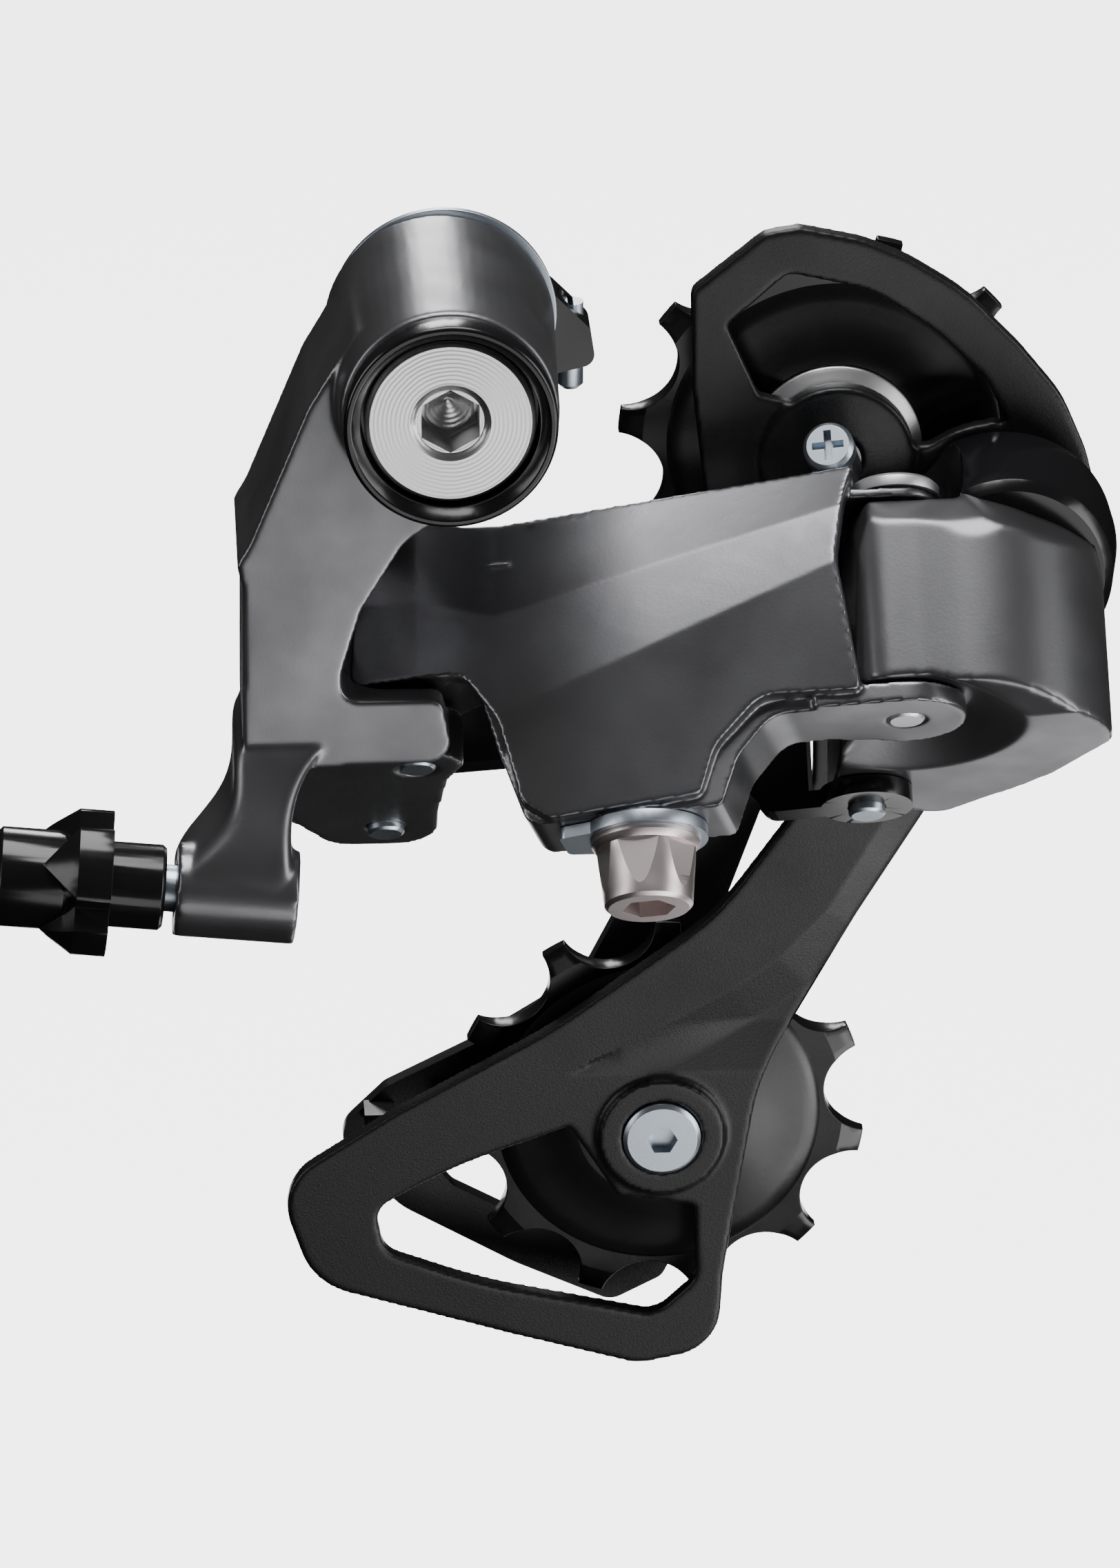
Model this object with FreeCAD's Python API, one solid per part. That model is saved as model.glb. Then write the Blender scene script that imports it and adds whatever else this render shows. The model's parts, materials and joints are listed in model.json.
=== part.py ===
"""Rear bicycle derailleur, modelled in millimetres at its real size.

Frame: the origin is on the hanger bolt's axis, at the outer face of the frame's hanger.
+X points to the front of the bicycle, +Y inboard towards the wheel, +Z up.
"""
import FreeCAD
import Part
import math
import os

Vec = FreeCAD.Vector
X_AXIS = Vec(1, 0, 0)
Y_AXIS = Vec(0, 1, 0)
Z_AXIS = Vec(0, 0, 1)

# Running and assembly clearances
RUN_GAP = 0.05
LINK_GAP = 0.35

# Hanger bolt and the bracket's barrel around it
HANGER_THREAD_R = 5.0
HANGER_THREAD_LENGTH = 9.0
AXLE_R = 6.0
BUSH_R = 7.2
STOP_PLATE_Y = -1.6
THRUST_WASHER_Y = -2.4
TENSION_SCREW = (14.2, 1.4)
TENSION_SCREW_R = 1.4
BARREL_FRONT_Y = -30.0
BARREL_REAR_Y = -2.6
BARREL_FRONT_R = 11.4
BARREL_REAR_R = 12.25
SPRING_CHAMBER_R = 10.2
BOLT_HEAD_R = 8.9
BOLT_HEAD_Y = -31.9
BOLT_HEAD_DEPTH = 3.0
HEX_6_MM = 6.0
COLLAR_R = 11.1
COLLAR_BORE_R = 9.3
COLLAR_FRONT_Y = -33.4
COLLAR_FLOOR_Y = -28.8
COLLAR_FLOOR_THICK = 0.7

# Slanted linkage: its pins lie at this angle from vertical, leaning inboard at the top
SLANT_DEG = 44.0
LINK_ORIGIN = Vec(-3.2, -18.0, -45.3)
LINK_LENGTH = 52.8
REST_DEG = -13.2
INNER_PIN_OFFSET = (-3.0, 18.1)
PIN_R = 2.0
PIN_BORE_R = PIN_R + RUN_GAP
FOOT_TOP = 5.8
TUBE_BOTTOM = 6.9
TUBE_TOP = 22.0
UPPER_LUG_TOP = 26.0
LUG_R = 5.7
INNER_TUBE_BOTTOM = 6.2
INNER_TUBE_TOP = 14.6
INNER_LUG_TOP = 17.0
KNUCKLE_LOWER_LUG_TOP = 2.2
LINK_UPPER_LUG = (23.9, 24.9)
LINK_WALL = 2.2
OPEN_PIVOT_GAP = 0.1
PIN_HEAD_R = 4.85
KNUCKLE_TOP_CUT_R = 7.6
WALL_SWEEP_R = 10.4
# Each station along the link: x, then (y, z) of the wall's top edge, two folds and foot
LINK_WALL_STATIONS = (
    (-6.0, (-7.4, 20.0), (-6.8, 17.0), (-8.3, 7.2), (-7.8, -2.0)),
    (2.0, (-7.0, 25.6), (-7.7, 16.2), (-9.3, 5.4), (-7.8, -6.0)),
    (10.5, (-4.4, 25.8), (-8.4, 13.5), (-9.3, 1.9), (-7.4, -11.0)),
    (50.0, (-4.4, 28.4), (-7.6, 22.6), (-9.4, 16.3), (-6.6, -11.0)),
)
# Limit screws, as link (x, z): the high one faces outboard, the low one inboard
HIGH_SCREW = (46.4, 31.0)
LOW_SCREW = (39.6, 23.4)
LIMIT_SCREW_R = 1.5
CLAMP_PLACE = (24.6, -1.4)
CLAMP_SEAT_Z = -9.7
CLAMP_BOLT_R = 2.45
WASHER_THICK = 1.3
INNER_LUG_BOTTOM = -3.2

# Cage pivot, on an axis along Y in the knuckle
PIVOT_X = 60.4
PIVOT_Z = -26.8
CAGE_AXLE_R = 4.0
SPRING_HOUSING_R = 12.4
HOUSING_POCKET_R = 11.2
SPRING_HOUSING_BORE_R = 6.9
HOUSING_FRONT_Y = -13.0
HOUSING_SEAT_Y = -12.0
HOUSING_REAR_Y = -0.8
KNUCKLE_REAR_Y = -6.0

# Cage and pulleys
GUIDE = (43.2, -18.7)
TENSION = (24.5, -99.6)
GUIDE_PHASE_DEG = 10.0
TENSION_PHASE_DEG = 22.0
PULLEY_Y = 9.0
TEETH = 11
CHAIN_PITCH = 12.7
ROLLER_R = 3.75
VALLEY_R = 5.4
PULLEY_TIP_R = 23.4
PULLEY_HALF_HUB = 3.9
CAP_R = 9.4
OUTER_PLATE_Y = (2.2, 4.2)
INNER_PLATE_Y = (13.8, 15.8)
PULLEY_BOLT_R = 2.5
PULLEY_BUSH_R = 4.0

# Cable adjuster, whose axis falls slightly towards the front
ADJUSTER_Y = -28.0
ADJUSTER_START = Vec(-48.2, ADJUSTER_Y, -51.9)
ADJUSTER_TILT_DEG = 6.0
ADJUSTER_BOLT_R = 2.5
CABLE_BORE_R = 1.1
HOUSING_SEAT_R = 2.55


# ---------------------------------------------------------------- helpers

def rounded_wire(corners):
    """Closed wire through (x, y, radius) corners in the XY plane, each corner an arc of its radius."""
    count = len(corners)
    starts = []
    ends = []
    middles = []
    for i in range(count):
        here = Vec(corners[i][0], corners[i][1], 0)
        before = Vec(corners[i - 1][0], corners[i - 1][1], 0)
        after = Vec(corners[(i + 1) % count][0], corners[(i + 1) % count][1], 0)
        radius = corners[i][2]
        to_before = (before - here).normalize()
        to_after = (after - here).normalize()
        half = to_before.getAngle(to_after) / 2
        if radius <= 0 or half > math.pi / 2 - 1e-3:
            starts.append(here)
            ends.append(here)
            middles.append(None)
            continue
        reach = radius / math.tan(half)
        bisector = (to_before + to_after).normalize()
        starts.append(here + to_before * reach)
        ends.append(here + to_after * reach)
        middles.append(here + bisector * (radius / math.sin(half) - radius))
    edges = []
    for i in range(count):
        if middles[i] is not None:
            edges.append(Part.Arc(starts[i], middles[i], ends[i]).toShape())
        following = starts[(i + 1) % count]
        if ends[i].distanceToPoint(following) > 1e-6:
            edges.append(Part.LineSegment(ends[i], following).toShape())
    return Part.Wire(edges)


def slab(corners, low, high):
    """Rounded outline in XY, extruded from z = low to z = high."""
    face = Part.Face(rounded_wire(corners))
    face.translate(Vec(0, 0, low))
    return face.extrude(Vec(0, 0, high - low))


def plate_xz(corners, y_low, y_high):
    """Rounded (x, z) outline, extruded along Y from y_low to y_high."""
    shape = slab(corners, -y_high, -y_low)
    shape.rotate(Vec(0, 0, 0), X_AXIS, 90)
    return shape


def rod(radius, start, direction, length):
    return Part.makeCylinder(radius, length, start, direction)


def turned(profile, start, direction):
    """Solid of revolution from (radius, height) points, heights measured from start along direction."""
    points = [Vec(r, 0, h) for r, h in profile]
    face = Part.Face(Part.makePolygon(points + [points[0]]))
    solid = face.revolve(Vec(0, 0, 0), Z_AXIS, 360)
    turn = FreeCAD.Rotation(Z_AXIS, direction)
    solid.Placement = FreeCAD.Placement(start, turn)
    return solid


def along_y(radius, centre, y_low, y_high):
    """Cylinder along +Y about centre (x, z)."""
    return rod(radius, Vec(centre[0], y_low, centre[1]), Y_AXIS, y_high - y_low)


def hexagon(across_flats, start, direction, length):
    radius = across_flats / math.sqrt(3)
    points = []
    for i in range(7):
        angle = math.radians(60 * i)
        points.append(Vec(radius * math.cos(angle), radius * math.sin(angle), 0))
    solid = Part.Face(Part.makePolygon(points)).extrude(Vec(0, 0, length))
    solid.Placement = FreeCAD.Placement(start, FreeCAD.Rotation(Z_AXIS, direction))
    return solid


def fused(pieces):
    return pieces[0].fuse(pieces[1:]).removeSplitter()


def largest(shape):
    """Drop the slivers that a cut leaves beside the main solid."""
    return max(shape.Solids, key=lambda solid: solid.Volume)


def coil(radius, wire_r, pitch, turns, start, direction):
    """Helical spring whose axis starts at start and runs along direction."""
    helix = Part.makeHelix(pitch, pitch * turns, radius)
    section = Part.Wire([Part.makeCircle(wire_r, Vec(radius, 0, 0), Y_AXIS)])
    solid = Part.Wire(helix.Edges).makePipeShell([section], True, True)
    solid.Placement = FreeCAD.Placement(start, FreeCAD.Rotation(Z_AXIS, direction))
    return solid


def in_linkage(shape):
    """Place a shape built in linkage coordinates: x forward, y inboard and down, z along the pins."""
    placed = shape.copy()
    tilt = FreeCAD.Rotation(X_AXIS, -SLANT_DEG)
    placed.Placement = FreeCAD.Placement(LINK_ORIGIN, tilt).multiply(shape.Placement)
    return placed


def in_link(shape):
    """Place a shape built along a link: x from the bracket pin to the knuckle pin, z along the pins."""
    placed = shape.copy()
    turn = FreeCAD.Rotation(Z_AXIS, REST_DEG)
    placed.Placement = FreeCAD.Placement(Vec(0, 0, 0), turn).multiply(shape.Placement)
    return in_linkage(placed)


def pin_places():
    """Linkage (x, y) of the four pins."""
    angle = math.radians(REST_DEG)
    reach = (LINK_LENGTH * math.cos(angle), LINK_LENGTH * math.sin(angle))
    offset = INNER_PIN_OFFSET
    return {
        "bracket_outer": (0.0, 0.0),
        "bracket_inner": offset,
        "knuckle_outer": reach,
        "knuckle_inner": (reach[0] + offset[0], reach[1] + offset[1]),
    }


PINS = pin_places()


def at_pin(radius, pin, low, high):
    """Cylinder about one of the linkage pins, in linkage coordinates."""
    x, y = PINS[pin]
    return rod(radius, Vec(x, y, low), Z_AXIS, high - low)


def adjuster_point(distance):
    angle = math.radians(ADJUSTER_TILT_DEG)
    return ADJUSTER_START + Vec(math.cos(angle), 0, -math.sin(angle)) * distance


ADJUSTER_AXIS = (adjuster_point(1) - ADJUSTER_START).normalize()


# ---------------------------------------------------------------- hanger side

def mounting_bolt():
    shoulder = -BOLT_HEAD_Y
    end = shoulder + HANGER_THREAD_LENGTH
    profile = [
        (0, 0), (BOLT_HEAD_R - 0.5, 0), (BOLT_HEAD_R, 0.5), (BOLT_HEAD_R, BOLT_HEAD_DEPTH),
        (AXLE_R, BOLT_HEAD_DEPTH), (AXLE_R, shoulder), (HANGER_THREAD_R, shoulder), (HANGER_THREAD_R, end),
        (0, end),
    ]
    face = Vec(0, BOLT_HEAD_Y, 0)
    bolt = turned(profile, face, Y_AXIS)
    socket_mouth = turned([(0, 0), (4.2, 0), (3.5, 0.5), (0, 0.5)], face, Y_AXIS)
    socket = hexagon(HEX_6_MM, face, Y_AXIS, 5.0)
    drill_tip = turned([(0, 5.0), (2.6, 5.0), (0, 6.6)], face, Y_AXIS)
    socket.rotate(face, Y_AXIS, 30)
    return bolt.cut([socket_mouth, socket, drill_tip])


def hanger_stop_plate():
    """Plate clamped against the hanger, with the lug that carries the tension screw."""
    disc = along_y(11.3, (0, 0), STOP_PLATE_Y, 0.0)
    lug = plate_xz(
        [
            (6.0, 6.0, 0), (12.3, 2.4, 1.0), (16.2, -1.6, 1.6), (16.8, -5.6, 1.4),
            (12.6, -6.6, 0.6), (8.0, -8.0, 0),
        ],
        STOP_PLATE_Y, 3.8,
    )
    lug = lug.cut(along_y(11.2, (0, 0), 0.0, 5.0))
    bore = along_y(AXLE_R + RUN_GAP, (0, 0), -3.0, 1.0)
    x, y = TENSION_SCREW
    screw_hole = rod(TENSION_SCREW_R + RUN_GAP, Vec(x, y, -12.0), Z_AXIS, 20.0)
    return fused([disc, lug]).cut([bore, screw_hole])


def thrust_washer():
    """Plated washer between the barrel and the stop plate."""
    ring = along_y(BARREL_REAR_R - 0.2, (0.5, 0.5), THRUST_WASHER_Y, STOP_PLATE_Y)
    return ring.cut(along_y(AXLE_R + RUN_GAP, (0, 0), -5, 0))


def b_tension_screw():
    """Headless screw in the stop plate's lug; its tip bears on the hanger's step."""
    x, y = TENSION_SCREW
    r = TENSION_SCREW_R
    screw = turned([(0, 0), (r - 0.5, 0), (r, 0.5), (r, 9.8), (0, 9.8)], Vec(x, y, -9.3), Z_AXIS)
    return screw.cut(Part.makeBox(0.6, 4.0, 1.0, Vec(x - 0.3, y - 2.0, -0.5)))


def b_axle_bush():
    start = COLLAR_FLOOR_Y + COLLAR_FLOOR_THICK
    bush = rod(BUSH_R, Vec(0, start, 0), Y_AXIS, -4.0 - start)
    return bush.cut(along_y(AXLE_R + RUN_GAP, (0, 0), -31, 0))


def b_spring():
    return coil(8.7, 0.75, 2.2, 7, Vec(0, -22.0, 0), Y_AXIS)


def barrel_collar():
    """Cup in the barrel's mouth, round the bolt's head."""
    floor_back = COLLAR_FLOOR_Y + COLLAR_FLOOR_THICK
    spigot_r = COLLAR_R - 1.0
    profile = [
        (AXLE_R + 0.2, COLLAR_FLOOR_Y), (AXLE_R + 0.2, floor_back), (spigot_r, floor_back),
        (spigot_r, BARREL_FRONT_Y), (COLLAR_R, BARREL_FRONT_Y), (COLLAR_R, COLLAR_FRONT_Y + 0.3),
        (COLLAR_R - 0.3, COLLAR_FRONT_Y), (COLLAR_R - 0.8, COLLAR_FRONT_Y),
        (COLLAR_BORE_R, COLLAR_FRONT_Y + 1.2), (COLLAR_BORE_R, COLLAR_FLOOR_Y),
    ]
    return turned(profile, Vec(0, 0, 0), Y_AXIS)


def barrel_rear_seal():
    """Ring that closes the spring chamber behind the barrel."""
    ring = along_y(SPRING_CHAMBER_R, (0, 0), -3.8, -2.7)
    return ring.cut(along_y(AXLE_R + RUN_GAP, (0, 0), -5, 0))


# ---------------------------------------------------------------- bracket

def bracket_barrel():
    profile = [
        (0, BARREL_FRONT_Y), (BARREL_FRONT_R - 0.4, BARREL_FRONT_Y), (BARREL_FRONT_R, BARREL_FRONT_Y + 0.4),
        (BARREL_REAR_R, BARREL_REAR_Y - 0.5), (BARREL_REAR_R - 0.5, BARREL_REAR_Y), (0, BARREL_REAR_Y),
    ]
    return turned(profile, Vec(0, 0, 0), Y_AXIS)


def bracket_arm():
    """Arm from the barrel down to the foot: an L in side view, with a fillet inside its corner."""
    return plate_xz(
        [
            (-9.4, 7.6, 1), (-14.6, -1.2, 6), (-20.8, -16.2, 2), (-22.2, -18.6, 1.2), (-21.6, -21.4, 2),
            (-21.9, -42.2, 2.0), (0.6, -41.6, 2.5), (-0.8, -34.4, 1.5), (-11.3, -34.3, 1.6),
            (-11.3, -31.0, 4), (-9.2, -24.0, 5), (-4.6, -16.4, 5), (6.0, -9.0, 1), (0.0, 6.0, 0),
        ],
        -24.4, -5.0,
    )


def bracket_foot():
    """Lower lugs of the linkage: a slab square to the pins."""
    plan = [
        (-18.6, -6.6, 3.5), (0.6, -6.6, 1.0), (5.4, -2.0, 3.0), (3.4, 3.6, 3), (2.6, 14.0, 3),
        (2.7, 23.8, 5.2), (-8.6, 23.8, 4.5), (-12.6, 17.0, 4.0), (-18.4, 4.0, 4.0),
    ]
    return slab(plan, 0.0, FOOT_TOP)


def bracket_back_wall():
    """Wall outside the links' sweep, joining lower and upper lugs and closing the gap beside the tube."""
    near = -4.2
    lower = slab(
        [
            (-18.4, -4.0, 2), (-9.6, -4.0, 0), (-9.6, 1.4, 0), (near, 1.4, 0), (near, 9.6, 1),
            (-9.6, 20.0, 1), (-13.0, 20.0, 2), (-18.4, 6.0, 3),
        ],
        1.0, 17.0,
    )
    upper = slab(
        [
            (-17.4, -2.0, 2), (-9.4, -2.0, 0), (-9.4, 1.4, 0), (near, 1.4, 0), (near, 9.0, 1), (-16.0, 9.0, 3),
        ],
        12.0, UPPER_LUG_TOP,
    )
    return fused([lower, upper])


def bracket_upper_lugs():
    low = TUBE_TOP + LINK_GAP
    outer = fused([
        at_pin(LUG_R, "bracket_outer", low, UPPER_LUG_TOP),
        slab([(-15.5, -5.0, 1), (0, -5.7, 0), (0, 5.7, 0), (-15.5, 6.5, 1)], low, UPPER_LUG_TOP),
    ])
    inner = fused([
        at_pin(LUG_R - 0.5, "bracket_inner", INNER_TUBE_TOP + LINK_GAP, INNER_LUG_TOP),
        slab([(-12.5, 13.6, 1), (-3.0, 12.9, 0), (-3.0, 23.3, 0), (-12.5, 20.0, 1)],
             INNER_TUBE_TOP + LINK_GAP, INNER_LUG_TOP),
    ])
    return [outer, inner]


def bracket_upper_web():
    """Web that hangs the upper lug below the barrel's rear half."""
    return plate_xz(
        [(-14.0, -6.0, 0), (4.0, -8.0, 0), (2.0, -18.0, 3), (0.5, -26.0, 2), (-14.0, -26.0, 2)], -5.6, -2.8)


def bracket_neck():
    """Neck that widens from the foot down to the adjuster's boss."""
    sections = [
        (-21.9, -11.5, -24.2, -9.0, -39.0),
        (-22.9, -15.6, -27.0, -12.5, -43.0),
        (-24.8, -16.9, -29.8, -17.0, -47.2),
        (-28.2, -16.9, -31.6, -20.5, -50.2),
        (-29.2, -16.9, -32.6, -23.4, -53.6),
    ]
    wires = []
    for x_low, x_high, y_low, y_high, z in sections:
        corners = [(x_low, y_low, 1.6), (x_high, y_low, 1.6), (x_high, y_high, 1.6), (x_low, y_high, 1.6)]
        wire = rounded_wire(corners)
        wire.translate(Vec(0, 0, z))
        wires.append(wire)
    return Part.makeLoft(wires, True)


def bracket_boss():
    return rod(5.0, adjuster_point(19.0), ADJUSTER_AXIS, 12.9)


def bracket_knuckle():
    """B knuckle: the casting that turns on the hanger bolt and carries the linkage and the adjuster."""
    linkage_side = [bracket_foot(), bracket_back_wall()] + bracket_upper_lugs()
    cable_side = [bracket_neck(), bracket_boss()]
    solid = fused([bracket_barrel(), bracket_arm(), bracket_upper_web()] + cable_side
                  + [in_linkage(s) for s in linkage_side])
    lug_gap = TUBE_TOP + LINK_GAP
    free_side = slab([(-12, 1.0, 0), (-3, 1.0, 0), (-3, 12, 0), (-12, 12, 0)], FOOT_TOP, lug_gap)
    sweep = [
        at_pin(WALL_SWEEP_R, "bracket_outer", FOOT_TOP, lug_gap).cut(free_side),
        at_pin(LUG_R + 0.2, "bracket_outer", FOOT_TOP, lug_gap),
        at_pin(7.2, "bracket_inner", FOOT_TOP, INNER_TUBE_TOP + LINK_GAP),
        slab([(-9.6, -14, 0), (14, -14, 0), (14, -5.9, 0), (-9.6, -5.9, 0)], lug_gap, 28.0),
        slab([(-2.8, -14, 0), (14, -14, 0), (14, 8, 0), (-2.8, 8, 0)], lug_gap, 26.1).cut(
            at_pin(LUG_R + 0.25, "bracket_outer", lug_gap - 1, 28.0)),
    ]
    bores = [
        at_pin(PIN_R, "bracket_outer", -1, UPPER_LUG_TOP + 1),
        at_pin(PIN_R, "bracket_inner", -1, INNER_LUG_TOP + 1),
    ]
    solid = solid.cut([in_linkage(s) for s in sweep + bores])
    floor_back = COLLAR_FLOOR_Y + COLLAR_FLOOR_THICK
    chamber = turned(
        [
            (0, BARREL_FRONT_Y - 1), (COLLAR_R - 1.0, BARREL_FRONT_Y - 1), (COLLAR_R - 1.0, floor_back),
            (BUSH_R, floor_back), (BUSH_R, -25.0), (SPRING_CHAMBER_R, -25.0), (SPRING_CHAMBER_R, -1),
            (0, -1),
        ],
        Vec(0, 0, 0), Y_AXIS,
    )
    adjuster_thread = rod(ADJUSTER_BOLT_R + RUN_GAP, adjuster_point(18.0), ADJUSTER_AXIS, 10.0)
    cable_way = rod(CABLE_BORE_R + 0.4, adjuster_point(18.0), ADJUSTER_AXIS, 20.0)
    return largest(solid.cut([chamber, adjuster_thread, cable_way]))


# ---------------------------------------------------------------- cable adjuster

def adjuster_wings():
    """Four finger wings, each a shield pointing to the adjuster's open end."""
    shield = [(-4.0, 12.0), (-4.0, 8.4), (0.0, 4.7), (4.0, 8.4), (4.0, 12.0)]
    points = [Vec(0, across, along) for across, along in shield]
    block = Part.Face(Part.makePolygon(points + [points[0]])).extrude(Vec(9, 0, 0))
    wings = []
    for i in range(4):
        wing = block.copy()
        wing.rotate(Vec(0, 0, 0), Z_AXIS, 90 * i + 49)
        wings.append(wing)
    taper = turned([(0, 4.5), (5.2, 4.5), (7.75, 8.4), (7.75, 12.0), (0, 12.0)], Vec(0, 0, 0), Z_AXIS)
    return fused(wings).common(taper)


def barrel_adjuster():
    sleeve = turned(
        [(0, 0), (4.9, 0), (5.3, 0.4), (5.3, 7.0), (4.55, 8.0), (4.55, 17.4), (4.2, 17.8), (0, 17.8)],
        ADJUSTER_START, ADJUSTER_AXIS,
    )
    crown = adjuster_wings()
    crown.Placement = FreeCAD.Placement(ADJUSTER_START, FreeCAD.Rotation(Z_AXIS, ADJUSTER_AXIS))
    body = fused([sleeve, crown])
    seat = rod(HOUSING_SEAT_R, adjuster_point(-0.5), ADJUSTER_AXIS, 6.5)
    cable_way = rod(CABLE_BORE_R, adjuster_point(5.0), ADJUSTER_AXIS, 5.0)
    spring_pocket = rod(3.9, adjuster_point(8.4), ADJUSTER_AXIS, 12.0)
    return body.cut([seat, cable_way, spring_pocket])


def adjuster_bolt():
    bolt = rod(ADJUSTER_BOLT_R, adjuster_point(9.2), ADJUSTER_AXIS, 18.2)
    return bolt.cut(rod(CABLE_BORE_R, adjuster_point(9), ADJUSTER_AXIS, 20.0))


def adjuster_spring():
    return coil(3.2, 0.55, 1.6, 4, adjuster_point(10.2), ADJUSTER_AXIS)


# ---------------------------------------------------------------- linkage

def outer_link_wall():
    """Front wall: three facets between the top edge and the foot of the wall, in link coordinates."""
    sections = []
    for x, edge, upper_fold, lower_fold, foot in LINK_WALL_STATIONS:
        front = [edge, upper_fold, lower_fold, foot]
        back = [(y + LINK_WALL, z) for y, z in reversed(front)]
        points = [Vec(x, y, z) for y, z in front + back]
        sections.append(Part.makePolygon(points + [points[0]]))
    faceted = Part.makeLoft(sections, True, True)
    outline = [
        (-5.4, 7.0, 1.5), (7.0, 7.0, 3.0), (10.6, 1.4, 4), (12.6, -7.6, 2.0), (15.4, -9.6, 1.2),
        (31.6, -8.4, 1.0), (33.4, -3.4, 5.0), (38.6, 1.6, 4.0), (49.2, 1.2, 0.6), (48.4, 8.0, 6.0),
        (47.4, 16.0, 8.0), (48.4, 24.0, 0), (49.2, 27.7, 0.5), (11.0, 25.2, 2), (1.6, 25.0, 2.0),
        (-5.0, 17.4, 3.0),
    ]
    return faceted.common(plate_xz(outline, -12.0, 4.0))


def outer_link_flange():
    """Lower flange, which follows the wall's foot from the knuckle lug to the cable lobe."""
    outline = [
        (47.0, 0.0, 0), (47.0, 2.2, 0), (38.8, 2.2, 5.5), (33.6, -2.8, 6.0), (31.8, -7.6, 0.8),
        (14.6, -7.6, 2.0), (12.2, -2.0, 3.0), (10.4, 6.8, 0), (7.8, 6.8, 0), (10.0, -1.0, 3),
        (12.8, -9.6, 2), (33.6, -9.6, 1), (35.6, -4.2, 4.0), (39.4, 0.0, 4.0),
    ]
    return plate_xz(outline, -6.2, 3.6)


def outer_link():
    top = LINK_UPPER_LUG
    tube = rod(LUG_R - 0.1, Vec(0, 0, TUBE_BOTTOM), Z_AXIS, TUBE_TOP - TUBE_BOTTOM)
    tube_web = slab(
        [(-3.0, -6.6, 0), (12.0, -6.6, 0), (12.0, -3.0, 1), (4.0, 3.6, 1), (-2.0, 0, 0)], TUBE_BOTTOM, 20.0)
    lower_lug = rod(6.4, Vec(LINK_LENGTH, 0, 0), Z_AXIS, KNUCKLE_LOWER_LUG_TOP)
    lower_web = slab(
        [(44, -7.0, 0), (LINK_LENGTH, -6.4, 0), (LINK_LENGTH, 6.4, 0), (44.0, 3.6, 0)],
        0, KNUCKLE_LOWER_LUG_TOP,
    )
    upper_lug = rod(4.5, Vec(LINK_LENGTH, 0, top[0]), Z_AXIS, top[1] - top[0])
    upper_web = slab(
        [
            (14.0, -5.0, 0), (48.0, -5.0, 0), (LINK_LENGTH, -4.5, 0), (LINK_LENGTH, 4.5, 0),
            (44.0, 4.4, 3), (20.0, 2.0, 3),
        ],
        top[0], top[1],
    )
    x, y = CLAMP_PLACE
    clamp_boss = rod(5.2, Vec(x, y, CLAMP_SEAT_Z), Z_AXIS, 5.2)
    clamp_web = slab(
        [(16.0, -6.4, 0), (31.6, -6.4, 0), (31.0, 0.0, 2), (24.6, 3.6, 3), (17.0, 0.0, 2)], -8.2, -4.4)
    body = fused([
        outer_link_wall(), outer_link_flange(), tube, tube_web, lower_lug, lower_web, upper_lug, upper_web,
        clamp_boss, clamp_web,
    ] + limit_screw_ears())
    bores = [
        rod(PIN_BORE_R, Vec(0, 0, 0), Z_AXIS, 30),
        rod(PIN_BORE_R, Vec(LINK_LENGTH, 0, -2), Z_AXIS, 30),
        rod(CLAMP_BOLT_R + RUN_GAP, Vec(x, y, -12), Z_AXIS, 9),
        rod(4.5, Vec(0, 0, 9.0), Z_AXIS, 11.0),
        rod(LUG_R + 0.6, Vec(0, 0, TUBE_TOP), Z_AXIS, 8.0),
        rod(PIN_HEAD_R + 0.25, Vec(LINK_LENGTH, 0, top[1]), Z_AXIS, 1.8),
    ]
    for place in (HIGH_SCREW, LOW_SCREW):
        bores.append(along_y(LIMIT_SCREW_R + RUN_GAP, place, -1.9, 12.0))
    return in_link(body.cut(bores))


def limit_screw_ears():
    """Threaded ears for the limit screws, standing on the link's upper flange."""
    ears = []
    for x, z in (HIGH_SCREW, LOW_SCREW):
        boss = along_y(2.6, (x, z), -0.6, 4.4)
        ears.append(boss)
        if z > LINK_UPPER_LUG[1]:
            foot = LINK_UPPER_LUG[0]
            ears.append(plate_xz([(x - 2.2, foot, 0), (x + 2.2, foot, 0), (x + 2.2, z, 0), (x - 2.2, z, 0)],
                                 -0.6, 4.4))
    return ears


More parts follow.
